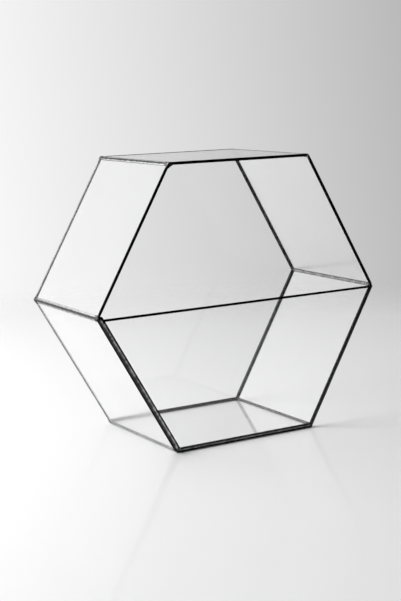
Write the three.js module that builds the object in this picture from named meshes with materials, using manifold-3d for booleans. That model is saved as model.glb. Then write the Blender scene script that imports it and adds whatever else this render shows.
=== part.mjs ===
// A hexagonal glass terrarium, built by the copper foil method.
//
// Eight panes of clear glass make a prism with a regular hexagon for its front and back. It stands on
// one flat side, and the upper half of its front is left open, to plant through. Each pane is wrapped
// round its edge with copper foil, and a bead of solder runs along every edge of the prism and meets
// its neighbours in a knot at every corner.
//
// Millimetres. +X is to the right, +Y runs from the open front to the back, and +Z is up. The origin
// is on the table, under the middle of the terrarium.

import * as THREE from "three";
import { mergeVertices } from "three/addons/utils/BufferGeometryUtils.js";
import Module from "manifold-3d";

// Driving dimensions.
const hexagonSide = 175; // one side of the hexagon, from corner line to corner line
const prismDepth = 152; // from the front corners to the back corners
const glassThickness = 2;
const foilThickness = 0.06;
const foilOverlap = 1.5; // how far the foil and its solder reach over each face of the glass
const wideOverlap = 2; // the same along the widest seam, the left joint of the front
const solderSkin = 0.12; // solder on top of the foil, at the foil's edge
const lipCrown = 0.15; // added to that along the edge of the glass, where a lip is thickest
const lipNose = 0.9; // solder beyond the glass along a free edge
const jointGap = 0.3; // solder between the inner edges of two panes that meet
const fitGap = 0.02; // clearance where glass, foil and solder lie against each other
const lipDrop = 1.8; // from the middle corners down to the top edge of the front pane
const restHeight = 2.2; // from the table up to the middle of the bottom pane's thickness
const knotReach = 7; // how far a knot runs along each of its seams
const knotRadius = 2.1; // the blob of solder at a corner that a full bead runs into
const flatKnotRadius = 1.5; // the same where only flat seams meet
const endSetBack = 2; // at the top of the opening, from the front corner plane back to the blob's middle

// A seam's round back is an arc, and its centre lies this far in from the corner line where two panes
// would meet. The farther in it lies, the flatter the seam.
const flatPull = 2.8; // between a side pane and the back
const crossPull = 2.4; // between two side panes
// The joints of the front, and the seams that the terrarium stands on, are full beads.
const fullPull = {
  front_lower_right: 1.1,
  front_lower_left: 1.3,
  front_bottom: 0.9,
  back_bottom: 0.9,
};

// Webs of solder that fill the four corners of the opening, as lengths along its two edges.
const webLegs = {
  front_top_left: 5.6,
  front_top_right: 3.4,
  front_left: 4.4,
  front_right: 4.4,
};
const webFront = 0.8; // from the front corner plane back to the web's front face
const webBack = 2.4;

const arcSteps = 7;
const knotDetail = 2;

const apothem = (hexagonSide * Math.sqrt(3)) / 2;
const foiledFace = glassThickness / 2 + foilThickness + 2 * fitGap;
const beadFace = foiledFace + solderSkin;
const lipFace = beadFace + lipCrown;
const lipMitre = lipFace * Math.tan(Math.PI / 6); // a lip runs past its corner, to meet the next lip

// Colours of the three materials.
const finishes = {
  glass: () =>
    new THREE.MeshStandardMaterial({
      color: 0xf3f6f6,
      roughness: 0.03,
      metalness: 0,
      transparent: true,
      opacity: 0.25,
    }),
  foil: () =>
    new THREE.MeshStandardMaterial({ color: 0x241c18, roughness: 0.55, metalness: 0.8 }),
  solder: () =>
    new THREE.MeshStandardMaterial({ color: 0x1c1c1d, roughness: 0.38, metalness: 0.9 }),
};

// Solid geometry: joins and cuts of closed meshes.
const wasm = await Module();
wasm.setup();

function solidFrom(geometry) {
  const bare = geometry.clone();
  bare.deleteAttribute("normal");
  bare.deleteAttribute("uv");
  const merged = mergeVertices(bare, 1e-4);
  return new wasm.Manifold(
    new wasm.Mesh({
      numProp: 3,
      vertProperties: merged.attributes.position.array,
      triVerts: new Uint32Array(merged.index.array),
    }),
  );
}

function geometryFrom(solid) {
  const { vertProperties, triVerts } = solid.getMesh();
  const indexed = new THREE.BufferGeometry();
  indexed.setAttribute("position", new THREE.BufferAttribute(vertProperties, 3));
  indexed.setIndex(new THREE.BufferAttribute(triVerts, 1));
  const geometry = indexed.toNonIndexed();
  geometry.computeVertexNormals();
  return geometry;
}

const joined = (solids) => solids.reduce((sum, solid) => sum.add(solid));
const cutBy = (solid, tools) => tools.reduce((rest, tool) => rest.subtract(tool), solid);

// The skeleton: the twelve corners, where the middle planes of the panes would meet.
const ring = {
  top_left: [-hexagonSide / 2, restHeight + 2 * apothem],
  top_right: [hexagonSide / 2, restHeight + 2 * apothem],
  right: [hexagonSide, restHeight + apothem],
  bottom_right: [hexagonSide / 2, restHeight],
  bottom_left: [-hexagonSide / 2, restHeight],
  left: [-hexagonSide, restHeight + apothem],
};
const ringNames = Object.keys(ring);
const planes = { front: -prismDepth / 2, back: prismDepth / 2 };

const corners = {};
for (const [plane, y] of Object.entries(planes)) {
  for (const [name, [x, z]] of Object.entries(ring)) {
    corners[`${plane}_${name}`] = new THREE.Vector3(x, y, z);
  }
}
const middle = new THREE.Vector3(0, 0, restHeight + apothem);

// The six sides of the hexagon, each between two neighbouring corners of the ring.
const sides = {
  top: ["top_left", "top_right"],
  upper_right: ["top_right", "right"],
  lower_right: ["right", "bottom_right"],
  bottom: ["bottom_right", "bottom_left"],
  lower_left: ["bottom_left", "left"],
  upper_left: ["left", "top_left"],
};
const squareJoint = Math.PI / 4; // half the angle between a side pane and the front or back pane
const sideJoint = Math.PI / 3; // half the angle between two side panes

// How far a pane's edge stays back from the corner line, so that the foiled inner edges of the two
// panes come within jointGap of each other.
function edgeInset(halfAngle) {
  const across = jointGap / 2 + Math.cos(halfAngle) * foiledFace;
  return foiledFace - glassThickness / 2 + across / Math.sin(halfAngle);
}

// Seams, each between two corners. The three upper seams of the front and the middle one hold the free
// edge of one pane, and every other seam joins two panes.
const seams = {};
const openSides = ["upper_left", "top", "upper_right"];
for (const [side, [from, to]] of Object.entries(sides)) {
  const free = openSides.includes(side);
  seams[`front_${side}`] = {
    ends: [`front_${from}`, `front_${to}`],
    panes: free ? [side] : [side, "lower_front"],
    halfAngle: squareJoint,
  };
  seams[`back_${side}`] = {
    ends: [`back_${from}`, `back_${to}`],
    panes: [side, "back"],
    halfAngle: squareJoint,
  };
}
const sideNames = Object.keys(sides);
for (const name of ringNames) {
  seams[`cross_${name}`] = {
    ends: [`front_${name}`, `back_${name}`],
    panes: sideNames.filter((side) => sides[side].includes(name)),
    halfAngle: sideJoint,
  };
}
seams.front_middle = {
  ends: ["front_left", "front_right"],
  panes: ["lower_front"],
  halfAngle: squareJoint,
  inset: lipDrop,
};

// A seam's inset is how far its panes' edges stay back from the corner line, its overlap is how far the
// foil and the solder reach over the glass from there, and its pull sets its round back.
for (const [name, seam] of Object.entries(seams)) {
  seam.inset ??= edgeInset(seam.halfAngle);
  seam.overlap = name === "front_lower_left" ? wideOverlap : foilOverlap;
  seam.pull = fullPull[name] ?? (seam.halfAngle === sideJoint ? crossPull : flatPull);
}

// Panes. Each is given by its corners, in order, and by the seam that follows each corner.
const panes = {};
for (const [side, [from, to]] of Object.entries(sides)) {
  panes[side] = {
    corners: [`front_${from}`, `front_${to}`, `back_${to}`, `back_${from}`],
    edges: [`front_${side}`, `cross_${to}`, `back_${side}`, `cross_${from}`],
  };
}
panes.back = {
  corners: ringNames.map((name) => `back_${name}`),
  edges: sideNames.map((side) => `back_${side}`),
};
panes.lower_front = {
  corners: ["front_left", "front_right", "front_bottom_right", "front_bottom_left"],
  edges: ["front_middle", "front_lower_right", "front_bottom", "front_lower_left"],
};

// A pane's own plane: u runs along its first edge, w points out of the terrarium.
function planeOf(pane) {
  const points = pane.corners.map((name) => corners[name]);
  const u = points[1].clone().sub(points[0]).normalize();
  const second = points[2].clone().sub(points[1]).normalize();
  const w = u.clone().cross(second).normalize();
  if (w.dot(points[0].clone().sub(middle)) < 0) w.negate();
  const v = w.clone().cross(u);
  const placed = new THREE.Matrix4().makeBasis(u, v, w).setPosition(points[0]);
  const flat = points.map((point) => {
    const away = point.clone().sub(points[0]);
    return new THREE.Vector2(away.dot(u), away.dot(v));
  });
  return { placed, flat };
}

// Moves each edge of a convex outline inwards by its own distance.
function insetOutline(outline, distances) {
  const turn = Math.sign(THREE.ShapeUtils.area(outline));
  const lines = outline.map((point, i) => {
    const along = outline[(i + 1) % outline.length].clone().sub(point).normalize();
    const inwards = new THREE.Vector2(-along.y, along.x).multiplyScalar(turn);
    return { start: point.clone().addScaledVector(inwards, distances[i]), along };
  });
  return lines.map((line, i) => {
    const before = lines.at(i - 1);
    const away = line.start.clone().sub(before.start);
    const reach = away.cross(line.along) / before.along.cross(line.along);
    return before.start.clone().addScaledVector(before.along, reach);
  });
}

// A slab in a pane's plane. Each of its edges lies this far in from the corner line of that edge's seam.
function slab(pane, insetOf, thickness) {
  const { placed, flat } = planeOf(pane);
  const outline = insetOutline(flat, pane.edges.map((name) => insetOf(seams[name])));
  const geometry = new THREE.ExtrudeGeometry(new THREE.Shape(outline), {
    depth: thickness,
    bevelEnabled: false,
  });
  return geometry.translate(0, 0, -thickness / 2).applyMatrix4(placed);
}

// A pane of glass, made larger all round by grow.
const glassOf = (pane, grow = 0) =>
  slab(pane, (seam) => seam.inset - grow, glassThickness + 2 * grow);

// The foil lies round the pane's edge and laps over both of its faces.
function foilOf(pane) {
  const outside = solidFrom(glassOf(pane, fitGap + foilThickness));
  const glass = solidFrom(glassOf(pane, fitGap));
  const window = solidFrom(slab(pane, (seam) => seam.inset + seam.overlap, 2 * glassThickness));
  return outside.subtract(glass).subtract(window);
}

// Section of a seam between two panes. Across the seam, x points out of the terrarium, halfway
// between the two panes, and the corner line is at 0, 0.
function beadSection({ halfAngle, inset, overlap, pull }) {
  const along = inset + overlap;
  const [sine, cosine] = [Math.sin(halfAngle), Math.cos(halfAngle)];
  const outer = [-cosine * along + sine * beadFace, sine * along + cosine * beadFace];
  const inner = [-cosine * along - sine * beadFace, sine * along - cosine * beadFace];
  const radius = Math.hypot(outer[0] + pull, outer[1]);
  const opening = Math.atan2(outer[1], outer[0] + pull);
  const hollow = inner[0] + solderSkin * 3; // the inner fillet is slightly hollow
  const shape = new THREE.Shape();
  shape.moveTo(inner[0], inner[1]);
  shape.quadraticCurveTo(hollow, 0, inner[0], -inner[1]);
  shape.lineTo(outer[0], -outer[1]);
  shape.absarc(-pull, 0, radius, -opening, opening, false);
  shape.closePath();
  return shape;
}

// Section of the lip round a free edge, with x pointing away from the glass.
function lipSection({ inset, overlap }) {
  const hem = -inset - overlap;
  const shape = new THREE.Shape();
  shape.moveTo(hem, beadFace);
  shape.lineTo(hem, -beadFace);
  shape.lineTo(-inset, -lipFace);
  shape.absellipse(-inset, 0, lipNose, lipFace, -Math.PI / 2, Math.PI / 2, false);
  shape.closePath();
  return shape;
}

// The direction from a seam into one of its panes, square to the seam.
function intoPane(seam, paneName) {
  const [start, end] = seam.ends.map((name) => corners[name]);
  const along = end.clone().sub(start).normalize();
  const points = panes[paneName].corners.map((name) => corners[name]);
  const centre = points
    .reduce((sum, point) => sum.add(point), new THREE.Vector3())
    .divideScalar(points.length);
  const inwards = centre.sub(start);
  return inwards.addScaledVector(along, -inwards.dot(along)).normalize();
}

// A seam's section, extruded from one distance along it to another, measured from either end.
function seamPiece(name, endIndex, from, to) {
  const seam = seams[name];
  const start = corners[seam.ends[endIndex]];
  const along = corners[seam.ends[1 - endIndex]].clone().sub(start).normalize();
  const outwards = new THREE.Vector3();
  for (const paneName of seam.panes) outwards.sub(intoPane(seam, paneName));
  outwards.normalize();
  const across = along.clone().cross(outwards);
  const section = seam.panes.length === 1 ? lipSection(seam) : beadSection(seam);
  const geometry = new THREE.ExtrudeGeometry(section, {
    depth: to - from,
    bevelEnabled: false,
    curveSegments: arcSteps,
  });
  const placed = new THREE.Matrix4()
    .makeBasis(outwards, across, along)
    .setPosition(start.clone().addScaledVector(along, from));
  return solidFrom(geometry.applyMatrix4(placed));
}

// Slots for the foiled panes, and the table that the bottom beads are dressed flat to.
const slots = {};
for (const [name, pane] of Object.entries(panes)) {
  slots[name] = solidFrom(glassOf(pane, foilThickness + 2 * fitGap));
}
const underTable = solidFrom(
  new THREE.BoxGeometry(4 * hexagonSide, 2 * prismDepth, restHeight).translate(0, 0, -restHeight / 2),
);

function barOf(name) {
  const seam = seams[name];
  const [start, end] = seam.ends.map((corner) => corners[corner]);
  const length = start.distanceTo(end);
  const bar = seamPiece(name, 0, knotReach + fitGap, length - knotReach - fitGap);
  return cutBy(bar, [...seam.panes.map((pane) => slots[pane]), underTable]);
}

// A web between two edges of the opening, thinner than the beads and hollow along its free side.
function webAt(cornerName) {
  const leg = webLegs[cornerName];
  const corner = corners[cornerName];
  const edges = Object.keys(seams)
    .filter((name) => seams[name].panes.length === 1 && seams[name].ends.includes(cornerName))
    .map((name) => {
      const other = seams[name].ends.find((end) => end !== cornerName);
      const drop = name === "front_middle" ? lipDrop : 0;
      const along = corners[other].clone().sub(corner).normalize();
      return { drop, along };
    });
  const base = Math.max(...edges.map((edge) => edge.drop));
  const [first, second] = edges.map(({ drop, along }) => {
    const tip = corner.clone().addScaledVector(along, leg);
    return new THREE.Vector2(tip.x, tip.z - drop);
  });
  const apex = new THREE.Vector2(corner.x, corner.z - base);
  const bend = first.clone().add(second).divideScalar(2).lerp(apex, 0.3);
  const shape = new THREE.Shape();
  shape.moveTo(apex.x, apex.y);
  shape.lineTo(first.x, first.y);
  shape.quadraticCurveTo(bend.x, bend.y, second.x, second.y);
  shape.closePath();
  const geometry = new THREE.ExtrudeGeometry(shape, {
    depth: webBack - webFront,
    bevelEnabled: false,
    curveSegments: arcSteps / 2,
  });
  // The outline is drawn in X and Y and then stood up, so that its depth runs forwards from webBack.
  geometry.rotateX(Math.PI / 2).translate(0, planes.front + webBack, 0);
  return solidFrom(geometry);
}

function knotOf(cornerName) {
  const meeting = Object.keys(seams).filter((name) => seams[name].ends.includes(cornerName));
  const joints = meeting.filter((name) => seams[name].panes.length === 2);
  const setBack = joints.length === 1 ? endSetBack : 0;
  const stubs = meeting.map((name) => {
    const start = joints.includes(name) ? setBack : -lipMitre;
    return seamPiece(name, seams[name].ends.indexOf(cornerName), start, knotReach);
  });
  const full = meeting.some((name) => name in fullPull);
  const blob = new THREE.IcosahedronGeometry(full ? knotRadius : flatKnotRadius, knotDetail);
  const { x, y, z } = corners[cornerName];
  const pieces = [...stubs, solidFrom(blob.translate(x, y + setBack, z))];
  if (webLegs[cornerName]) pieces.push(webAt(cornerName));
  const around = new Set(meeting.flatMap((name) => seams[name].panes));
  const tools = [...around].map((pane) => slots[pane]);
  return cutBy(joined(pieces), [...tools, underTable]);
}

// The terrarium.
const terrarium = new THREE.Group();
const groups = { glass: new THREE.Group(), foil: new THREE.Group(), solder: new THREE.Group() };
terrarium.add(...Object.values(groups));

function place(name, finish, geometry) {
  const mesh = new THREE.Mesh(geometry, finishes[finish]());
  mesh.name = name;
  groups[finish].add(mesh);
}

for (const [name, pane] of Object.entries(panes)) {
  place(`pane_${name}`, "glass", glassOf(pane));
  place(`foil_${name}`, "foil", geometryFrom(foilOf(pane)));
}
for (const name of Object.keys(seams)) {
  place(`seam_${name}`, "solder", geometryFrom(barOf(name)));
}
for (const name of Object.keys(corners)) {
  place(`knot_${name}`, "solder", geometryFrom(knotOf(name)));
}

export default terrarium;
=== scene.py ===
# %% [markdown]
# # A hexagonal glass terrarium, joined with copper foil and solder
#
# The real object is eight panes of window glass. The maker wraps each pane's edge with copper tape,
# runs solder along every edge where two panes meet, and then turns the bright solder black with a
# patina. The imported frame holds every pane, foil and seam at its true size. This file gives the panes
# and the foil their finish, and models the solder again as a hand leaves it.

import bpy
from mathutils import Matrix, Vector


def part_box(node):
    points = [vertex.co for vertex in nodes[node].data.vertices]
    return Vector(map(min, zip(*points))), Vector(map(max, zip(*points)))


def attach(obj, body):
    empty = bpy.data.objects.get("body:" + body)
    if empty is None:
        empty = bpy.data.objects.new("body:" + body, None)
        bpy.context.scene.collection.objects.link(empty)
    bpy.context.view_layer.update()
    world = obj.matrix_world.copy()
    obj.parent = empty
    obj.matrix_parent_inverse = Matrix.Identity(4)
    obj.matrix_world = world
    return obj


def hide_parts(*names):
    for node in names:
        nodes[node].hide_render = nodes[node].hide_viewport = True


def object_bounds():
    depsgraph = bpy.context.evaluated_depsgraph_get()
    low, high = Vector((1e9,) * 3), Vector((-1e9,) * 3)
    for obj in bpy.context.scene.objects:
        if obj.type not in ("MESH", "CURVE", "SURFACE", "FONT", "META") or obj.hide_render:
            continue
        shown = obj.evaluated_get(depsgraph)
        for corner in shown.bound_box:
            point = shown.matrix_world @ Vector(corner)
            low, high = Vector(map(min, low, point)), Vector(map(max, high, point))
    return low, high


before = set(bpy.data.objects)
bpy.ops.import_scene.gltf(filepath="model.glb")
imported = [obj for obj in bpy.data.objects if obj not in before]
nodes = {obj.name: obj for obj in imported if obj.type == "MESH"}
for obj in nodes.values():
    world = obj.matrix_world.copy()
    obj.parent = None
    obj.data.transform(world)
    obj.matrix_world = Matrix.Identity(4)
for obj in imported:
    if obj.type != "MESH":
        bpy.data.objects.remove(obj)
cad_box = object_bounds()
print(f"{len(nodes)} pieces in the frame, from {tuple(cad_box[0])} to {tuple(cad_box[1])}")

# %% [markdown]
# ## Tools and units
#
# Blender works in metres, and a terrarium's parts are named in millimetres, so one constant turns the
# one into the other. `bmesh` edits meshes through operators, and `mathutils.noise` gives a smooth
# random value that is the same in every run, which is what a hand's unsteadiness needs.

# %% Tools and units
import math
from collections import namedtuple

import bmesh
import bpy
from mathutils import Matrix, Vector, noise

MM = 0.001
print("one millimetre is", MM, "m")

# %% [markdown]
# ## The skeleton
#
# Every seam runs along a line where the middle planes of two panes would meet. Those lines need no
# new measurements: the panes' boxes in the frame give them. The top and bottom panes give the height
# of the hexagon, and a regular hexagon's side follows from its height.

# %% The skeleton
def middle_of(node, axis):
    low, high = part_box(node)
    return (low[axis] + high[axis]) / 2


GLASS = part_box("pane_back")[1].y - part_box("pane_back")[0].y
FRONT, BACK = middle_of("pane_lower_front", 1), middle_of("pane_back", 1)
TOP, BOTTOM = middle_of("pane_top", 2), middle_of("pane_bottom", 2)
MIDDLE = (TOP + BOTTOM) / 2
SIDE = (TOP - BOTTOM) / math.sqrt(3)

RING = {
    "top_left": (-SIDE / 2, TOP),
    "top_right": (SIDE / 2, TOP),
    "right": (SIDE, MIDDLE),
    "bottom_right": (SIDE / 2, BOTTOM),
    "bottom_left": (-SIDE / 2, BOTTOM),
    "left": (-SIDE, MIDDLE),
}
CORNERS = {
    f"{plane}_{name}": Vector((x, y, z))
    for plane, y in (("front", FRONT), ("back", BACK))
    for name, (x, z) in RING.items()
}
print(f"glass {GLASS / MM:.2f} mm, hexagon side {SIDE / MM:.1f} mm, depth {(BACK - FRONT) / MM:.1f} mm")

# %% [markdown]
# ## The camera
#
# The picture was taken from the left of the front and a little above, with a short telephoto lens. A
# camera is easiest to read as a place, a heading, a tilt and a roll. Blender's camera looks along its
# own -Z, so it is first stood up by a quarter turn less the tilt and then turned to its heading.

# %% The camera
CAMERA_PLACE = Vector((-0.7770, -1.2560, 0.3954))
CAMERA_HEADING = math.radians(-31.49)  # from +Y, to the right is negative
CAMERA_TILT = math.radians(9.66)  # downwards
CAMERA_ROLL = math.radians(-1.30)
CAMERA_LENS = 79.98  # mm, on a frame 36 mm high

camera_data = bpy.data.cameras.new("camera")
camera_data.lens = CAMERA_LENS
camera = bpy.data.objects.new("camera", camera_data)
camera.matrix_world = (
    Matrix.Translation(CAMERA_PLACE)
    @ Matrix.Rotation(CAMERA_HEADING, 4, "Z")
    @ Matrix.Rotation(math.pi / 2 - CAMERA_TILT, 4, "X")
    @ Matrix.Rotation(CAMERA_ROLL, 4, "Z")
)
bpy.context.scene.collection.objects.link(camera)
bpy.context.scene.camera = camera
print(f"camera {CAMERA_PLACE.length:.2f} m from the middle of the table, {CAMERA_LENS} mm lens")

# %% [markdown]
# ## Nodes in a few words
#
# A material is a small graph. A few helpers keep the graphs readable: one adds a node and fills in its
# inputs, one starts a material with its Principled shader in place, and the others read a noise,
# stretch a range, mix two colours and give the object's own coordinates.

# %% Nodes in a few words
WHITE = (1.0, 1.0, 1.0, 1.0)


def add_node(tree, kind, inputs=None, **settings):
    """A new node, with its settings and inputs. An input is a value or another node's output."""
    node = tree.nodes.new(kind)
    for name, value in settings.items():
        setattr(node, name, value)
    for name, value in (inputs or {}).items():
        if isinstance(value, bpy.types.NodeSocket):
            tree.links.new(value, node.inputs[name])
        else:
            node.inputs[name].default_value = value
    return node


def new_material(name, inputs):
    """A material with a Principled shader, its inputs filled in, wired to the output."""
    material = bpy.data.materials.new(name)
    material.use_nodes = True
    tree = material.node_tree
    tree.nodes.clear()
    shader = add_node(tree, "ShaderNodeBsdfPrincipled", inputs)
    add_node(tree, "ShaderNodeOutputMaterial", {"Surface": shader.outputs["BSDF"]})
    return material, tree, shader


def noise_at(tree, coordinates, scale, detail):
    """A noise texture's value. The scale is in features to the metre."""
    texture = add_node(
        tree,
        "ShaderNodeTexNoise",
        {"Vector": coordinates, "Scale": scale, "Detail": detail},
    )
    return texture.outputs["Fac"]


def remap(tree, value, low, high, to_low, to_high):
    """A value's range stretched to another, and held inside it."""
    node = add_node(
        tree,
        "ShaderNodeMapRange",
        {"Value": value, 1: low, 2: high, 3: to_low, 4: to_high},
    )
    return node.outputs["Result"]


def mixed(tree, share, colour, other):
    """A mix of two colours. The share is how much of the other there is."""
    inputs = {"Factor": share, "A": colour, "B": other}
    return add_node(tree, "ShaderNodeMix", inputs, data_type="RGBA").outputs["Result"]


def object_coordinates(tree):
    return add_node(tree, "ShaderNodeTexCoord").outputs["Object"]


print("node helpers ready")

# %% [markdown]
# ## The studio
#
# The terrarium stands on a pale table before a plain backdrop, with a big soft window to the left. The
# backdrop is the world itself: its tone runs from bright on the left to grey on the right, and it is
# dimmer on the camera's side of the room, which is what keeps the black solder black.

# %% The studio's backdrop
LEFT_OF_CAMERA = Matrix.Rotation(CAMERA_HEADING, 3, "Z") @ Vector((-1, 0, 0))
AHEAD_OF_CAMERA = Matrix.Rotation(CAMERA_HEADING, 3, "Z") @ Vector((0, 1, 0))
BACKDROP_MIDDLE, BACKDROP_SLOPE = 0.7, 1.4  # its tone straight ahead, and how fast it changes sideways
BACKDROP_DARKEST, BACKDROP_BRIGHTEST = 0.32, 1.17
BACKDROP_FOOT = 0.03  # how much brighter it is near the table
FOOT_RISE = (-0.13, 0.04)  # the foot fades out as a look rises from the first to the second
ROOM_BEHIND_CAMERA = 0.1  # how bright the camera's side of the room is beside the backdrop
ROOM_TURN = (-0.2, 0.4)  # the room brightens as a look turns forwards from the first to the second

world = bpy.data.worlds.new("studio")
bpy.context.scene.world = world
world.use_nodes = True
sky = world.node_tree
sky.nodes.clear()
direction = add_node(sky, "ShaderNodeTexCoord").outputs["Generated"]


def share_towards(tree, axis):
    """How much a look into the backdrop goes along an axis, from -1 to 1."""
    node = add_node(tree, "ShaderNodeVectorMath", {0: direction, 1: axis}, operation="DOT_PRODUCT")
    return node.outputs["Value"]


window_side = remap(
    sky,
    share_towards(sky, LEFT_OF_CAMERA),
    (BACKDROP_DARKEST - BACKDROP_MIDDLE) / BACKDROP_SLOPE,
    (BACKDROP_BRIGHTEST - BACKDROP_MIDDLE) / BACKDROP_SLOPE,
    BACKDROP_DARKEST,
    BACKDROP_BRIGHTEST,
)
foot = remap(sky, share_towards(sky, (0, 0, 1)), *FOOT_RISE, BACKDROP_FOOT, 0.0)
backdrop = add_node(sky, "ShaderNodeMath", {0: window_side, 1: foot}, operation="ADD").outputs["Value"]
room_side = remap(sky, share_towards(sky, AHEAD_OF_CAMERA), *ROOM_TURN, ROOM_BEHIND_CAMERA, 1.0)
tone = add_node(sky, "ShaderNodeMath", {0: backdrop, 1: room_side}, operation="MULTIPLY")
background = add_node(sky, "ShaderNodeBackground", {"Color": WHITE, "Strength": tone.outputs["Value"]})
add_node(sky, "ShaderNodeOutputWorld", {"Surface": background.outputs["Background"]})
print(f"backdrop from {BACKDROP_DARKEST} on the right to {BACKDROP_BRIGHTEST} on the left")

# %% The window
WINDOW_PLACE = Vector((-1.1, 0.6, 1.15))
WINDOW_SIZE = (1.6, 1.2)
WINDOW_POWER = 37.0  # W

window_data = bpy.data.lights.new("window", "AREA")
window_data.shape = "RECTANGLE"
window_data.size, window_data.size_y = WINDOW_SIZE
window_data.energy = WINDOW_POWER
window = bpy.data.objects.new("window", window_data)
aim = Vector((0, 0, MIDDLE)) - WINDOW_PLACE
window.matrix_world = Matrix.Translation(WINDOW_PLACE) @ aim.to_track_quat("-Z", "Y").to_matrix().to_4x4()
window.visible_camera = False
window.visible_transmission = False
bpy.context.scene.collection.objects.link(window)
bpy.context.scene.view_settings.view_transform = "Standard"  # tones as they are lit
print(f"window {WINDOW_SIZE[0]} m by {WINDOW_SIZE[1]} m, {WINDOW_POWER} W")

# %% [markdown]
# ## The table
#
# The table is white and only half glossy: it shows a faint, blurred reflection of the seams that
# touch it. Its far edge melts into the backdrop, so it is a round disc whose rim fades out.

# %% The table
TABLE_RADIUS, TABLE_SIDES = 1.1, 96
TABLE_FADE = (0.72, 1.05)  # from here to here the rim fades out
TABLE_TONE, TABLE_ROUGHNESS = 0.86, 0.42
TABLE_COAT, TABLE_COAT_ROUGHNESS = 0.3, 0.08  # the coat is what mirrors the seams

table_mesh = bpy.data.meshes.new("table")
table_bm = bmesh.new()
bmesh.ops.create_circle(table_bm, cap_ends=True, radius=TABLE_RADIUS, segments=TABLE_SIDES)
table_bm.to_mesh(table_mesh)
table_bm.free()
table = bpy.data.objects.new("table", table_mesh)
bpy.context.scene.collection.objects.link(table)

table_white, tree, shader = new_material(
    "table_white",
    {
        "Base Color": (TABLE_TONE, TABLE_TONE, TABLE_TONE, 1.0),
        "Roughness": TABLE_ROUGHNESS,
        "Coat Weight": TABLE_COAT,
        "Coat Roughness": TABLE_COAT_ROUGHNESS,
    },
)
place = object_coordinates(tree)
from_middle = add_node(tree, "ShaderNodeVectorMath", {0: place}, operation="LENGTH").outputs["Value"]
tree.links.new(remap(tree, from_middle, *TABLE_FADE, 1.0, 0.0), shader.inputs["Alpha"])
table_mesh.materials.append(table_white)
print(f"table {2 * TABLE_RADIUS:.1f} m across")

# %% [markdown]
# ## Black patina on solder
#
# Patina is a thin black skin on a metal that was melted and froze in ripples. Up close it is a deep,
# slightly uneven black, a little glossier where it was waxed and rubbed, with a fine grain. The
# unevenness is a node group, because the foil under the solder was blackened by the same bath.
#
# A metal turns bright where it is seen at a grazing angle. The front seams have a dark rim, so they stay
# black.
# The other seams have a bright rim and a lighter black, a painted sheen where the window grazes them, and
# bare metal in places, which is wear and painted highlight.

# %% A group for the blackened skin
PATCH_DETAIL, GRAIN_DETAIL = 2.0, 4.0
WORN_PATCHES = (0.52, 0.75)  # the patches' noise, from where the black starts to wear to where it is worn
RUB_PATCHES, RUB_SPREAD = (0.35, 0.65), (0.7, 1.25)  # the bare metal, wear and painted highlight alike, is uneven from patch to patch
GLOSS_PATCHES, GLOSS_ROUGHNESS = (0.3, 0.7), (0.34, 0.2)  # and worn patches are glossier

blackened = bpy.data.node_groups.new("blackened_skin", "ShaderNodeTree")
for names, in_out, kind in (
    (("Dark", "Worn", "Bare"), "INPUT", "NodeSocketColor"),
    (("Rubbed_and_sheen", "Patches", "Grain"), "INPUT", "NodeSocketFloat"),
    (("Color",), "OUTPUT", "NodeSocketColor"),
    (("Roughness", "Height"), "OUTPUT", "NodeSocketFloat"),
):
    for name in names:
        blackened.interface.new_socket(name=name, in_out=in_out, socket_type=kind)

given = add_node(blackened, "NodeGroupInput").outputs
place = object_coordinates(blackened)
patches = noise_at(blackened, place, given["Patches"], PATCH_DETAIL)
grain = noise_at(blackened, place, given["Grain"], GRAIN_DETAIL)
worn = remap(blackened, patches, *WORN_PATCHES, 0.0, 1.0)
colour = mixed(blackened, worn, given["Dark"], given["Worn"])
uneven = remap(blackened, patches, *RUB_PATCHES, *RUB_SPREAD)
rubbed_and_sheen = add_node(
    blackened,
    "ShaderNodeMath",
    {0: given["Rubbed_and_sheen"], 1: uneven},
    operation="MULTIPLY",
    use_clamp=True,
)
rubbed_and_sheen_colour = mixed(blackened, rubbed_and_sheen.outputs["Value"], colour, given["Bare"])
gloss = remap(blackened, patches, *GLOSS_PATCHES, *GLOSS_ROUGHNESS)
add_node(blackened, "NodeGroupOutput", {"Color": rubbed_and_sheen_colour, "Roughness": gloss, "Height": grain})
print("group", blackened.name)

# %% The solder's and the foil's finish
SOLDER = {"metallic": 1.0, "bare": (0.5, 0.5, 0.51), "patches": 130.0, "grain": 1400.0, "bump": 0.35}
COPPER = {"metallic": 0.0, "bare": (0.35, 0.2, 0.14), "patches": 260.0, "grain": 2600.0, "bump": 0.2}
GRAIN_DEPTH = 0.1 * MM


def blackened_metal(name, rim, dark, worn, metallic, bare, patches, grain, bump):
    """A blackened metal, bare where its attribute says so: wear, and painted highlight. Its rim is its
    brightness at a grazing angle.
    """
    inputs = {"Metallic": metallic, "Specular Tint": (rim, rim, rim, 1.0)}
    material, tree, shader = new_material(name, inputs)
    rubbed_and_sheen = add_node(tree, "ShaderNodeAttribute", attribute_name="rubbed_and_sheen")
    skin = add_node(tree, "ShaderNodeGroup", node_tree=blackened)
    tones = {"Dark": (*dark, 1.0), "Worn": (*worn, 1.0), "Bare": (*bare, 1.0)}
    for socket, value in {**tones, "Patches": patches, "Grain": grain}.items():
        skin.inputs[socket].default_value = value
    tree.links.new(rubbed_and_sheen.outputs["Fac"], skin.inputs["Rubbed_and_sheen"])
    tree.links.new(skin.outputs["Color"], shader.inputs["Base Color"])
    tree.links.new(skin.outputs["Roughness"], shader.inputs["Roughness"])
    relief = add_node(
        tree,
        "ShaderNodeBump",
        {"Height": skin.outputs["Height"], "Strength": bump, "Distance": GRAIN_DEPTH},
    )
    tree.links.new(relief.outputs["Normal"], shader.inputs["Normal"])
    return material


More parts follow.
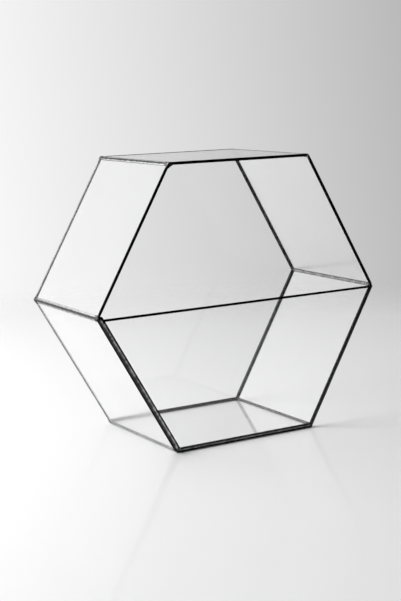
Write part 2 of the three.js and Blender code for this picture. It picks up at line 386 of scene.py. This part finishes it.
patina = blackened_metal(
    "patina", rim=0.15, dark=(0.006, 0.006, 0.0062), worn=(0.02, 0.02, 0.02), **SOLDER
)
# A lighter copy of the patina with a bright rim: painted sheen for the seams that the window grazes.
patina_with_sheen = blackened_metal(
    "patina_with_sheen", rim=0.9, dark=(0.02, 0.02, 0.0205), worn=(0.05, 0.05, 0.05), **SOLDER
)
black_foil = blackened_metal(
    "black_foil", rim=1.0, dark=(0.01, 0.009, 0.008), worn=(0.03, 0.026, 0.022), **COPPER
)
print("finishes", patina.name, patina_with_sheen.name, black_foil.name)

# %% [markdown]
# ## Clear glass
#
# Window glass is clear and nearly colourless. What shows it is what it mirrors, the faint waviness of
# drawn glass, and a trace of wiping marks. The picture is soft away from its focus, so the farther
# panes have a little haze, which blurs what they mirror in the same way. One pane has a faint white film,
# which paints the window's glare on it.
#
# A ray that asks for a lamp's light, or for light that was scattered already, passes straight through
# the glass. That stands for the soft light that real panes let through.

# %% Clear glass
GLASS_IOR = 1.5
FAINT_TINT = (0.996, 0.998, 0.998, 1.0)
WIPING_SCALE, WIPING_DETAIL = 14.0, 5.0
WIPING_RANGE = (0.3, 0.7)  # the noise where it is wiped, and where it isn't
WIPED_HAZE = 0.7  # the share of the haze that wiping leaves
WAVE_SCALE, WAVE_DETAIL = 9.0, 1.0  # of the waviness that drawing leaves in the glass
WAVE_STRENGTH, WAVE_DEPTH = 0.08, 0.2 * MM


def window_glass(name, clearness, haze):
    """Drawn glass with some haze. What isn't clear of it is a white film that the window lights up, which
    paints glare on the pane.
    """
    inputs = {"Transmission Weight": clearness, "IOR": GLASS_IOR}
    material, tree, shader = new_material(name, inputs)
    place = object_coordinates(tree)
    wiping = noise_at(tree, place, WIPING_SCALE, WIPING_DETAIL)
    blur = remap(tree, wiping, *WIPING_RANGE, WIPED_HAZE * haze, haze)
    tree.links.new(blur, shader.inputs["Roughness"])
    tree.links.new(mixed(tree, wiping, WHITE, FAINT_TINT), shader.inputs["Base Color"])
    drawn = noise_at(tree, place, WAVE_SCALE, WAVE_DETAIL)
    waviness = add_node(
        tree,
        "ShaderNodeBump",
        {"Height": drawn, "Strength": WAVE_STRENGTH, "Distance": WAVE_DEPTH},
    )
    tree.links.new(waviness.outputs["Normal"], shader.inputs["Normal"])

    ray = add_node(tree, "ShaderNodeLightPath").outputs
    through = add_node(tree, "ShaderNodeBsdfTransparent", {"Color": WHITE})
    surface = shader
    for kind in ("Is Shadow Ray", "Is Diffuse Ray"):
        choices = {0: ray[kind], 1: surface.outputs[0], 2: through.outputs[0]}
        surface = add_node(tree, "ShaderNodeMixShader", choices)
    tree.links.new(surface.outputs["Shader"], tree.nodes["Material Output"].inputs["Surface"])
    return material


clear_glass = window_glass("clear_glass", clearness=1.0, haze=0.03)
soft_glass = window_glass("soft_glass", clearness=1.0, haze=0.07)
hazed_glass = window_glass("hazed_glass", clearness=1.0, haze=0.15)
# The lower left pane's white film paints the glare that the window leaves on it.
glare_film_glass = window_glass("glare_film_glass", clearness=0.94, haze=0.08)
GLASS_OF = {  # the other panes are of soft glass
    "pane_lower_front": clear_glass,
    "pane_bottom": clear_glass,
    "pane_upper_right": hazed_glass,
    "pane_lower_left": glare_film_glass,
}

for name, node in nodes.items():
    if name.startswith(("pane_", "foil_")):
        node.data.materials.clear()
        finish = black_foil if name.startswith("foil_") else GLASS_OF.get(name, soft_glass)
        node.data.materials.append(finish)
print("glass and foil finished")

# %% [markdown]
# ## The section of a seam
#
# Cut through a seam and you see two foiled panes, a thin skin of solder over each foil, and a round
# back where the solder stood up as it froze. In the section's own axes, x points out of the terrarium
# and y across the seam, and the corner line is at 0, 0. A pane leaves the corner line at an angle, so
# a small helper turns a distance along the pane and a distance off its middle plane into x and y.

# %% The section's sizes
FOIL_THICKNESS = 0.06 * MM
FIT = 0.02 * MM  # the play between the glass, the foil and the solder
FOIL_OVERLAP = 1.5 * MM  # how far the foil reaches over a pane's face
WIDE_OVERLAP = 2.0 * MM  # the same on the left joint of the front
SOLDER_SKIN = 0.12 * MM
JOINT_GAP = 0.3 * MM  # the least space between the slots of two panes
LIP_CROWN = 0.15 * MM  # how much fuller each face of a lip is along the edge of the glass
LIP_NOSE = 0.9 * MM  # how far its round nose stands out from there
LIP_DROP = 1.8 * MM  # from the hexagon's middle down to the edge of the lower front pane

SLOT = GLASS / 2 + FOIL_THICKNESS + 2 * FIT  # half of the slot that holds a foiled pane
FACE = SLOT + SOLDER_SKIN  # from a pane's middle plane to the solder's face
LIP_FACE = FACE + LIP_CROWN  # the same on a lip, along the edge of the glass
SQUARE_JOINT = math.radians(45)  # half the angle between a side pane and the front or back
SIDE_JOINT = math.radians(60)  # half the angle between two side panes


def edge_inset(half_angle):
    """How far a pane's edge stays back from the corner line."""
    across = JOINT_GAP / 2 + math.cos(half_angle) * SLOT
    return SLOT - GLASS / 2 + across / math.sin(half_angle)


square_inset = edge_inset(SQUARE_JOINT)
print(f"slot {2 * SLOT / MM:.2f} mm, a square joint's panes stay {square_inset / MM:.2f} mm back")

# %% Which seam joins which panes
HEXAGON_SIDES = {
    "top": ("top_left", "top_right"),
    "upper_right": ("top_right", "right"),
    "lower_right": ("right", "bottom_right"),
    "bottom": ("bottom_right", "bottom_left"),
    "lower_left": ("bottom_left", "left"),
    "upper_left": ("left", "top_left"),
}
OPEN_SIDES = ("top", "upper_right", "upper_left")  # the front has no pane above its middle

Seam = namedtuple("Seam", "start end panes half_angle")
seams = {}
for side, (start, end) in HEXAGON_SIDES.items():
    front_panes = (side,) if side in OPEN_SIDES else (side, "lower_front")
    seams[f"front_{side}"] = Seam(f"front_{start}", f"front_{end}", front_panes, SQUARE_JOINT)
    seams[f"back_{side}"] = Seam(f"back_{start}", f"back_{end}", (side, "back"), SQUARE_JOINT)
for name in RING:
    touching = tuple(side for side, ends in HEXAGON_SIDES.items() if name in ends)
    seams[f"cross_{name}"] = Seam(f"front_{name}", f"back_{name}", touching, SIDE_JOINT)
seams["front_middle"] = Seam("front_left", "front_right", ("lower_front",), SQUARE_JOINT)
STROKES = {name: number for number, name in enumerate(seams)}  # the order they are soldered in


def seams_at(corner):
    """The names of the seams that end at a corner."""
    return [name for name, seam in seams.items() if corner in (seam.start, seam.end)]


print(len(seams), "seams")

# %% How full each seam is
FLAT_PULL, CROSS_PULL = 2.8 * MM, 2.4 * MM  # from the corner line in to the middle of the round back
FULL_PULL = {  # the same for the full beads
    "front_lower_right": 1.1 * MM,
    "front_lower_left": 1.3 * MM,
    "front_bottom": 1.2 * MM,
    "back_bottom": 0.9 * MM,
}
LEAN = {"cross_top_left": -0.35, "front_lower_left": 0.48}  # where the crown is, from -1 to 1, hem to hem
WIDER_HEM = {  # how much further the solder reaches on the pane at -y, and on the one at +y
    "front_lower_left": (0.0, 1.0 * MM),
    "cross_left": (0.8 * MM, 0.9 * MM),
    "cross_top_left": (0.7 * MM, 0.0),
}
FLAT_FLANK = {"front_lower_left": 0.75}  # how flat the round back is on the side of -y
LIP_FULLER = {"front_top": 0.4 * MM, "front_upper_right": -0.4 * MM}  # on one face of the lip


def is_lip(name):
    """A lip goes round the free edge of a single pane."""
    return len(seams[name].panes) == 1


def inset_of(name):
    """From the corner line to the edge of a pane's glass."""
    return LIP_DROP if name == "front_middle" else edge_inset(seams[name].half_angle)


def reach_of(name):
    """From the corner line to the hem of the foil."""
    return inset_of(name) + (WIDE_OVERLAP if name == "front_lower_left" else FOIL_OVERLAP)


def pull_of(name):
    """From the corner line to the middle of the round back. The shorter it is, the fuller the seam."""
    return FULL_PULL.get(name, CROSS_PULL if name.startswith("cross") else FLAT_PULL)


print("full beads:", *FULL_PULL)

# %% Where a seam lies
def into_pane(start, end, pane):
    """The direction from a seam into one of its panes, square to the seam."""
    low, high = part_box(f"pane_{pane}")
    along = (end - start).normalized()
    inwards = (low + high) / 2 - start
    return (inwards - along * inwards.dot(along)).normalized()


def seam_axes(name):
    """A matrix from a seam's own axes, z along it from its start, to the terrarium's, and its length."""
    seam = seams[name]
    start, end = CORNERS[seam.start], CORNERS[seam.end]
    along = (end - start).normalized()
    outwards = -sum((into_pane(start, end, pane) for pane in seam.panes), Vector()).normalized()
    across = along.cross(outwards)
    axes = Matrix((outwards, across, along)).transposed().to_4x4()
    return Matrix.Translation(start) @ axes, (end - start).length


print("seam axes ready")

# %% [markdown]
# ## Drawing the section
#
# The round back is an arc, and `bmesh.ops.spin` draws an arc from one vertex. The straight parts
# are a few vertices set one by one. Three layers of numbers ride along on the vertices: `skin` says how
# near a vertex is to the seam's crown, where the hand's unevenness is largest, `hem` which pane's foil
# edge it belongs to, and the last how bare its metal is, which is wear and painted highlight.

# %% Drawing the section
ARC_STEPS = 22


def new_section():
    """A bmesh whose vertices can hold the three numbers. The layers come before the first vertex."""
    bm = bmesh.new()
    for name in ("skin", "hem", "rubbed_and_sheen"):
        bm.verts.layers.float.new(name)
    return bm


def spun(bm, start, centre, angle, steps):
    """The vertices of an arc, from start, turned about centre."""
    first = bm.verts.new(start)
    bmesh.ops.spin(bm, geom=[first], cent=centre, axis=(0, 0, 1), angle=angle, steps=steps)
    bm.verts.ensure_lookup_table()
    return [first, *bm.verts[-steps:]]


def hem_angle(name):
    """Seen from the middle of the round back, the angle between its top and its hem."""
    half_angle, reach = seams[name].half_angle, reach_of(name)
    x = math.sin(half_angle) * FACE - math.cos(half_angle) * reach
    y = math.cos(half_angle) * FACE + math.sin(half_angle) * reach
    return math.atan2(y, x + pull_of(name))


def crown_share(name, turn):
    """From 0 to 1: how near a place is to the seam's crown. Its turn runs from -1 to 1, hem to hem."""
    return max(0.0, 1 - abs(turn - LEAN.get(name, 0.0)))


def bead_outline(bm, name, slotted):
    """The outline of a seam between two panes, as (vertex, skin, hem) in order.

    It starts as an even arc between two square hems. Then one side of the arc may be drawn flat, and
    either hem drawn further over its pane.
    """
    half_angle, reach, pull = seams[name].half_angle, reach_of(name), pull_of(name)
    sine, cosine = math.sin(half_angle), math.cos(half_angle)
    root = inset_of(name) - FOIL_THICKNESS - 2 * FIT

    def at(pane, along, off):
        return Vector((-cosine * along + sine * off, pane * (sine * along + cosine * off), 0))

    wider = dict(zip((-1, 1), WIDER_HEM.get(name, (0.0, 0.0))))
    outer = at(-1, reach, FACE)
    round_back = spun(bm, outer, (-pull, 0, 0), 2 * hem_angle(name), ARC_STEPS)
    ends = {round_back[0]: -1, round_back[-1]: 1}
    top = (outer - Vector((-pull, 0, 0))).length - pull
    outline = []
    for step, v in enumerate(round_back):
        outline.append((v, crown_share(name, 2 * step / ARC_STEPS - 1), ends.get(v, 0)))
        if v.co.y < 0:
            straight = top + (outer.x - top) * v.co.y / outer.y
            v.co.x += FLAT_FLANK.get(name, 0.0) * (straight - v.co.x)
        side = 1 if v.co.y > 0 else -1
        v.co += at(side, wider[side], 0) * abs(v.co.y / outer.y)

    slot = [(reach, SLOT), (root, SLOT), (root, -SLOT), (reach, -SLOT)]
    inner_face = [(reach, -FACE)]
    for pane, corners in ((1, slot + inner_face), (-1, inner_face + slot[::-1])):
        for along, off in corners if slotted else inner_face:
            hem = pane if along == reach else 0
            spot = at(pane, along + wider[pane] * abs(hem), off)
            outline.append((bm.verts.new(spot), 0.0, hem))
    return outline


def lip_outline(bm, name, slotted):
    """The outline of the lip round a free edge, as (vertex, skin, hem) in order."""
    inset, hem_x = inset_of(name), -reach_of(name)
    root = -inset + FOIL_THICKNESS + 2 * FIT
    nose = spun(bm, (-inset, -LIP_FACE, 0), (-inset, 0, 0), math.pi, ARC_STEPS)
    fuller = LIP_FULLER.get(name, 0.0)
    for v in nose:
        v.co.x = -inset + (v.co.x + inset) * LIP_NOSE / LIP_FACE
        if v.co.y * fuller > 0:
            v.co.y *= 1 + abs(fuller) / LIP_FACE
    outline = [(v, 1.0, 0) for v in nose]
    slot = [(hem_x, SLOT), (root, SLOT), (root, -SLOT), (hem_x, -SLOT)] if slotted else []
    for x, y in [(hem_x, FACE), *slot, (hem_x, -FACE)]:
        hem = math.copysign(1, y) if x == hem_x else 0
        outline.append((bm.verts.new((x, y, 0)), 0.0, hem))
    return outline


print("outlines drawn with", ARC_STEPS, "steps to the arc")

# %% [markdown]
# ## Running a seam
#
# A real seam is one stroke of the iron. Here the section is extruded to the seam's length, cut across
# into short stations, and then each vertex is moved a little: the round back swells and ripples, and
# the foil's hem wanders. Some seams keep a lumpy ridge along their crown. All of it fades out at the
# ends, where the knots take over.

# %% Running a seam
KNOT_REACH = 7.0 * MM
STATION = 0.9 * MM


def extruded(bm, outline, length):
    """The section as a closed bar of that length, with the outline's numbers on its vertices."""
    skin, hem = bm.verts.layers.float["skin"], bm.verts.layers.float["hem"]
    for vertex, skin_share, hem_side in outline:
        vertex[skin], vertex[hem] = skin_share, hem_side
    face = bm.faces.new([vertex for vertex, _, _ in outline])
    made = bmesh.ops.extrude_face_region(bm, geom=[face])["geom"]
    far = [v for v in made if isinstance(v, bmesh.types.BMVert)]
    bmesh.ops.translate(bm, verts=far, vec=(0, 0, length))
    bmesh.ops.recalc_face_normals(bm, faces=bm.faces)


def cut_into_stations(bm, length):
    """Cuts a bar across, so that it has vertices for the hand to move."""
    long_edges = [e for e in bm.edges if abs(e.verts[0].co.z - e.verts[1].co.z) > length / 2]
    bmesh.ops.subdivide_edges(bm, edges=long_edges, cuts=round(length / STATION))


def outline_of(bm, name, slotted):
    return lip_outline(bm, name, slotted) if is_lip(name) else bead_outline(bm, name, slotted)


print("seams run in stations of", STATION / MM, "mm")

# %% The unsteadiness of a hand
SWELL, SWELL_PITCH = 0.10 * MM, 22 * MM
RIPPLE, RIPPLE_PITCH = 0.05 * MM, 3.2 * MM
RIDGE, RIDGE_PITCH = 0.45 * MM, 3.0 * MM  # the lumpy ridge along a seam between two side panes
RIDGE_EDGE, RIDGE_WANDER = 0.62, 0.12  # the crown share where it begins, and how far that wanders
RIDGE_EVEN, RIDGE_LUMPS = 0.55, 0.9  # the even and the lumpy share of its height
HEM_WANDER, HEM_PITCH = 0.14 * MM, 6 * MM
FADE = 5 * MM  # from a bar's end to where its unsteadiness is full
ACROSS = 2  # it changes this much faster across a seam than along it
STROKE_STEP = 17.3  # how far apart in the noise two strokes are
# Each use of the noise adds its own number to a seam's stroke, so that it has values of its own.
RIPPLE_STROKE, HEM_STROKE, RIDGE_STROKE, LUMP_STROKE, CORE_STROKE = 0.5, 3, 7, 11, 23
RIDGED = {  # the share of the ridge's height that a seam has
    "cross_top_left": 1.0,
    "cross_left": 0.4,
    "cross_right": 0.4,
    "cross_bottom_right": 0.4,
}


def unsteady(place, pitch, stroke):
    """A smooth random value from -1 to 1 that changes over about one pitch."""
    x, y = place.x / pitch * ACROSS, place.y / pitch * ACROSS
    return noise.noise(Vector((place.z / pitch, x, y + STROKE_STEP * stroke)))


def unsteady_along(along, pitch, stroke):
    """The same for a place along a seam, whatever its place across."""
    return unsteady(Vector((0, 0, along)), pitch, stroke)


def ridge_height(crown, along, stroke):
    """A narrow ridge on the middle of a seam's back, in lumps where the iron stopped and went on."""
    wander = RIDGE_WANDER * unsteady_along(along, 2 * RIDGE_PITCH, stroke + RIDGE_STROKE)
    lumps = RIDGE_EVEN + RIDGE_LUMPS * unsteady_along(along, RIDGE_PITCH, stroke + LUMP_STROKE)
    share = max(0.0, crown - RIDGE_EDGE + wander) / (1 - RIDGE_EDGE)
    return RIDGE * max(0.0, lumps) * math.sin(min(1.0, share) * math.pi / 2)


def hand_run(bm, name, length):
    """Moves a straight bar's vertices as an unsteady hand leaves a seam."""
    skin, hem = bm.verts.layers.float["skin"], bm.verts.layers.float["hem"]
    stroke, ridged = STROKES[name], RIDGED.get(name, 0.0)
    opening = 0.0 if is_lip(name) else seams[name].half_angle
    hem_directions = {
        side: Vector((-math.cos(opening), side * math.sin(opening), 0)) for side in (-1, 1)
    }
    for v in bm.verts:
        fade = max(0.0, min(1.0, min(v.co.z, length - v.co.z) / FADE))
        if v[skin] > 0:
            away = Vector((v.co.x, v.co.y, 0)).normalized()
            uneven = SWELL * unsteady(v.co, SWELL_PITCH, stroke)
            uneven += RIPPLE * unsteady(v.co, RIPPLE_PITCH, stroke + RIPPLE_STROKE)
            uneven *= min(1.0, 2 * v[skin])  # full from halfway up to the crown
            if ridged:
                uneven += ridged * ridge_height(v[skin], v.co.z, stroke)
            v.co += away * uneven * fade
        if v[hem]:
            along_pane = hem_directions[int(math.copysign(1, v[hem]))]
            wander = 0.5 + 0.5 * unsteady_along(v.co.z, HEM_PITCH, stroke + v[hem] * HEM_STROKE)
            v.co -= along_pane * HEM_WANDER * wander * fade


print("a seam's back swells by", SWELL / MM, "mm")

# %% [markdown]
# ## Bare metal: wear and painted highlight
#
# Patina wears off where a cloth or a hand rubs it. Some seams show grey metal on their flanges, where
# the solder is thin over the foil, and others along their crown. The bare metal also paints highlights and
# the sheen of the window's light, such as the narrow highlight on the crown of the front's lower left seam.
# Each seam has one share of bare metal for its flanges and one for its crown, and the finish mixes the bare
# metal in by that number.

# %% Where the metal is bare, as wear and painted highlight
# Where a seam is lighter, much of that is painted highlight: bare metal put where the window's light shines
# on it.
RUBBED_AND_SHEEN = {  # the share of bare metal on a seam's flanges, and on its crown. Seams left out have none
    "cross_left": (0.68, 0.08),
    "cross_top_left": (0.72, 0.0),
    "cross_top_right": (1.0, 1.0),
    "cross_right": (0.5, 0.45),
    "cross_bottom_right": (0.3, 0.3),
    "cross_bottom_left": (1.0, 1.0),
    "back_top": (1.0, 1.0),
    "back_upper_left": (0.25, 0.1),
    "back_lower_left": (0.55, 0.45),
    "back_upper_right": (0.04, 0.03),
    "back_lower_right": (0.12, 0.04),
    "back_bottom": (0.08, 0.0),
    "front_bottom": (0.4, 0.1),
    "front_lower_right": (0.15, 0.12),
    "front_lower_left": (0.06, 0.88),
}
# The crown's band of bare metal is a painted highlight; LEAN and NARROW_CORE set where it lies and how
# narrow.
CORE_EDGE, CORE_WANDER = 0.6, 0.14  # the crown share where the crown's metal begins, and its wander
NARROW_CORE = {"front_lower_left": 0.89, "cross_top_left": 0.72, "cross_left": 0.66}  # it begins further up
CORE_FADE = 0.15  # the crown share over which the flange's metal turns to the crown's


def bareness(name, near_crown, along):
    """The share of bare metal at a place on a seam's skin, from its crown share and its place along."""
    flange, crown = RUBBED_AND_SHEEN.get(name, (0.0, 0.0))
    if flange == crown:
        return flange
    wander = CORE_WANDER * unsteady_along(along, RIDGE_PITCH, STROKES[name] + CORE_STROKE)
    up = (near_crown - NARROW_CORE.get(name, CORE_EDGE) + wander) / CORE_FADE
    return flange + (crown - flange) * max(0.0, min(1.0, up + 0.5))  # the fade is centred on the edge


def lay_bare_metal(bm, name):
    """Writes how bare the metal is at each vertex of a straight bar."""
    skin, rubbed_and_sheen = bm.verts.layers.float["skin"], bm.verts.layers.float["rubbed_and_sheen"]
    for v in bm.verts:
        v[rubbed_and_sheen] = bareness(name, v[skin], v.co.z)


print("rubbed seams:", *RUBBED_AND_SHEEN)

# %% Make the seams
SHARP_ANGLE = math.radians(50)  # edges sharper than this aren't shaded smooth

scene_collection = bpy.context.scene.collection
box_low, box_high = cad_box


def finished_piece(name, bm, node, finish=patina):
    """A solder piece in place, inside the frame's box, standing for its node and riding on the frame."""
    for v in bm.verts:
        v.co = Vector(map(max, box_low, map(min, box_high, v.co)))
    mesh = bpy.data.meshes.new(name)
    bm.to_mesh(mesh)
    bm.free()
    mesh.shade_smooth()
    mesh.set_sharp_from_angle(angle=SHARP_ANGLE)
    mesh.materials.append(finish)
    piece = bpy.data.objects.new(name, mesh)
    scene_collection.objects.link(piece)
    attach(piece, "root")
    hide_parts(node)
    return piece


def run_seam(name):
    """A seam's bar between its two knots. The seams of the front have the dark-rimmed patina, the others
    the patina with its painted sheen.
    """
    axes, full_length = seam_axes(name)
    length = full_length - 2 * KNOT_REACH
    bm = new_section()
    extruded(bm, outline_of(bm, name, slotted=True), length)
    cut_into_stations(bm, length)
    lay_bare_metal(bm, name)
    hand_run(bm, name, length)
    bm.transform(axes @ Matrix.Translation((0, 0, KNOT_REACH)))
    finish = patina if name.startswith("front") else patina_with_sheen
    return finished_piece(f"solder_{name}", bm, f"seam_{name}", finish)


seam_pieces = [run_seam(name) for name in seams]
print(len(seam_pieces), "seams,", sum(len(p.data.polygons) for p in seam_pieces), "faces")

# %% [markdown]
# ## Knots
#
# Where seams meet, the solder flows together. A knot starts as the ends of its seams and a ball, one
# through another, and at the corners of the opening a flat web. A voxel remesh makes them one skin, and
# smoothing rounds the valleys between them as surface tension does. Last, the slots for the foiled
# panes are cut out with a Boolean.

# %% What a knot is made of
KNOT_RADIUS, FLAT_KNOT_RADIUS = 2.1 * MM, 1.5 * MM  # of the ball where two full beads meet, and elsewhere
BALL_SUBDIVISIONS = 4
END_SET_BACK = 2.0 * MM  # how far behind the corner the ball is where one joint meets lips
LIP_MITRE = LIP_FACE * math.tan(math.radians(30))  # how far two lips run past their corner to meet
WEB_LEGS = {  # how far a web reaches along its two lips
    "front_top_left": 8.5 * MM,
    "front_top_right": 3.4 * MM,
    "front_left": 4.4 * MM,
    "front_right": 4.4 * MM,
}
WEB_FILL = 0.9  # 1 is a straight edge across, and less is a hollow one
WEB_FRONT, WEB_BACK = 0.8 * MM, 2.4 * MM  # where its faces are, measured back from the corner
ROUND_KNOTS = ("front_top_right", "front_right")  # their arms stop short of the corner
ROUND_SET_BACK = 0.9 * MM
ROUND_RADIUS, ROUND_DEPTH = 1.3 * MM, 1.4 * MM  # of their ball, and how far behind the corner it is
VOXEL = 0.24 * MM
SMOOTHINGS, SMOOTHING = 9, 0.5  # how often, and how much each time
END_LAP = 0.8 * MM  # how far a knot's arms run on inside its seams, so that no groove shows between them
LEAST_SAY = 0.05  # the least that a seam counts for at any place on its knot
WELD, FLAT_ANGLE = 0.01 * MM, math.radians(1)  # a pane's vertices and faces are merged below these


def add_stub(bm, name, corner, start):
    """The end of a seam at a corner, as a solid bar."""
    axes, length = seam_axes(name)
    stub = new_section()
    extruded(stub, outline_of(stub, name, slotted=False), KNOT_REACH + END_LAP - start)
    at_start = seams[name].start == corner
    offset = start if at_start else length - KNOT_REACH - END_LAP
    stub.transform(axes @ Matrix.Translation((0, 0, offset)))
    loose = bpy.data.meshes.new("stub")
    stub.to_mesh(loose)
    stub.free()
    bm.from_mesh(loose)
    bpy.data.meshes.remove(loose)


def add_web(bm, corner):
    """A flat web of solder between the two lips that meet at a corner of the opening."""
    lips = [name for name in seams_at(corner) if is_lip(name)]
    drops = {name: LIP_DROP if name == "front_middle" else 0.0 for name in lips}
    middle = CORNERS[corner]
    base = max(drops.values())
    points = [middle - Vector((0, 0, base))]
    for name in lips:
        other = CORNERS[seams[name].end if seams[name].start == corner else seams[name].start]
        tip = middle + (other - middle).normalized() * WEB_LEGS[corner]
        points.append(tip - Vector((0, 0, drops[name])))
    points.insert(2, (points[1] + points[2]) / 2 * WEB_FILL + points[0] * (1 - WEB_FILL))
    face = bm.faces.new([bm.verts.new(p + Vector((0, WEB_FRONT, 0))) for p in points])
    made = bmesh.ops.extrude_face_region(bm, geom=[face])["geom"]
    far = [v for v in made if isinstance(v, bmesh.types.BMVert)]
    bmesh.ops.translate(bm, verts=far, vec=(0, WEB_BACK - WEB_FRONT, 0))
    web = {f for v in far for f in v.link_faces}
    web |= {f for w in list(web) for e in w.edges for f in e.link_faces}
    bmesh.ops.recalc_face_normals(bm, faces=list(web))


print("knots are", 2 * KNOT_RADIUS / MM, "mm across")

# %% Make the knots
def slot_cutter(pane):
    """A pane's own shape, a little larger all round: the space that the foiled pane takes."""
    bm = bmesh.new()
    bm.from_mesh(nodes[f"pane_{pane}"].data)
    bmesh.ops.remove_doubles(bm, verts=bm.verts, dist=WELD)
    bmesh.ops.dissolve_limit(bm, angle_limit=FLAT_ANGLE, verts=bm.verts, edges=bm.edges)
    bm.normal_update()
    shifts = {v: v.normal * (SLOT - GLASS / 2) * v.calc_shell_factor() for v in bm.verts}
    for v, shift in shifts.items():
        v.co += shift
    mesh = bpy.data.meshes.new("slot")
    bm.to_mesh(mesh)
    bm.free()
    return bpy.data.objects.new("slot", mesh)


def applied(piece):
    """The piece's mesh with its modifiers applied, as a new bmesh. The piece is removed."""
    bpy.context.view_layer.update()
    evaluated = piece.evaluated_get(bpy.context.evaluated_depsgraph_get())
    mesh = bpy.data.meshes.new_from_object(evaluated)
    bm = bmesh.new()
    bm.from_mesh(mesh)
    bpy.data.objects.remove(piece)
    bpy.data.meshes.remove(mesh)
    return bm


def scratch_piece(bm, name):
    """A piece for modifiers to work on. It takes the bmesh."""
    mesh = bpy.data.meshes.new(name)
    bm.to_mesh(mesh)
    bm.free()
    piece = bpy.data.objects.new(name, mesh)
    scene_collection.objects.link(piece)
    return piece


def lay_bare_metal_on_knot(bm, corner):
    """Writes how bare the metal is at each vertex of a knot, from the seams on that side of it.

    A seam counts for more the further along it a vertex is. At the front, a seam's bare metal keeps to
    its own crown or flanges, and fades out within a knot's radius of the corner.
    """
    # The knots carry on the seams' bare metal, and with it their painted highlights.
    rubbed_and_sheen = bm.verts.layers.float.new("rubbed_and_sheen")
    totals, weighted = [0.0] * len(bm.verts), [0.0] * len(bm.verts)
    for name in seams_at(corner):
        axes, length = seam_axes(name)
        to_section, far_end = axes.inverted(), seams[name].end == corner
        for number, v in enumerate(bm.verts):
            place = to_section @ v.co
            along = (length - place.z if far_end else place.z) / KNOT_RADIUS
            share = sum(RUBBED_AND_SHEEN.get(name, (0.0, 0.0))) / 2
            if name.startswith("front"):
                turn = math.atan2(place.y, place.x + pull_of(name)) / hem_angle(name)
                share = bareness(name, crown_share(name, turn), place.z)
                share *= max(0.0, min(1.0, along))
            weight = max(LEAST_SAY, along) ** 2
            totals[number] += weight
            weighted[number] += weight * share
    for v, sum_of_shares, total in zip(bm.verts, weighted, totals):
        v[rubbed_and_sheen] = sum_of_shares / total


def knot_parts(corner):
    """The ends of a knot's seams, its ball and its web, one through another."""
    meeting = seams_at(corner)
    joints = [name for name in meeting if not is_lip(name)]
    full = [name for name in meeting if name in FULL_PULL]
    depth = set_back = END_SET_BACK if len(joints) == 1 else 0.0
    radius = KNOT_RADIUS if len(full) > 1 else FLAT_KNOT_RADIUS
    nearest = -LIP_MITRE
    if corner in ROUND_KNOTS:
        depth, radius, nearest = ROUND_DEPTH, ROUND_RADIUS, ROUND_SET_BACK
    bm = bmesh.new()
    for name in meeting:
        add_stub(bm, name, corner, max(nearest, set_back if name in joints else -LIP_MITRE))
    middle = Matrix.Translation(CORNERS[corner] + Vector((0, depth, 0)))
    bmesh.ops.create_icosphere(bm, subdivisions=BALL_SUBDIVISIONS, radius=radius, matrix=middle)
    if corner in WEB_LEGS:
        add_web(bm, corner)
    return bm


def make_knot(corner, cutters):
    """A knot's parts as one smoothed skin, with the panes' slots cut out of it."""
    lump = scratch_piece(knot_parts(corner), "lump")
    remesh = lump.modifiers.new("skin", "REMESH")
    remesh.mode, remesh.voxel_size = "VOXEL", VOXEL
    bm = applied(lump)
    for _ in range(SMOOTHINGS):
        bmesh.ops.smooth_vert(
            bm, verts=bm.verts, factor=SMOOTHING, use_axis_x=True, use_axis_y=True, use_axis_z=True
        )

    lump = scratch_piece(bm, "lump")
    for pane in sorted({pane for name in seams_at(corner) for pane in seams[name].panes}):
        cut = lump.modifiers.new(pane, "BOOLEAN")
        cut.operation, cut.solver, cut.object = "DIFFERENCE", "EXACT", cutters[pane]
    bm = applied(lump)
    lay_bare_metal_on_knot(bm, corner)
    return finished_piece(f"solder_knot_{corner}", bm, f"knot_{corner}")


pane_names = [name.removeprefix("pane_") for name in nodes if name.startswith("pane_")]
cutters = {pane: slot_cutter(pane) for pane in pane_names}
for cutter in cutters.values():
    scene_collection.objects.link(cutter)
knot_pieces = [make_knot(corner, cutters) for corner in CORNERS]
for cutter in cutters.values():
    bpy.data.objects.remove(cutter)
print(len(knot_pieces), "knots,", sum(len(p.data.polygons) for p in knot_pieces), "faces")
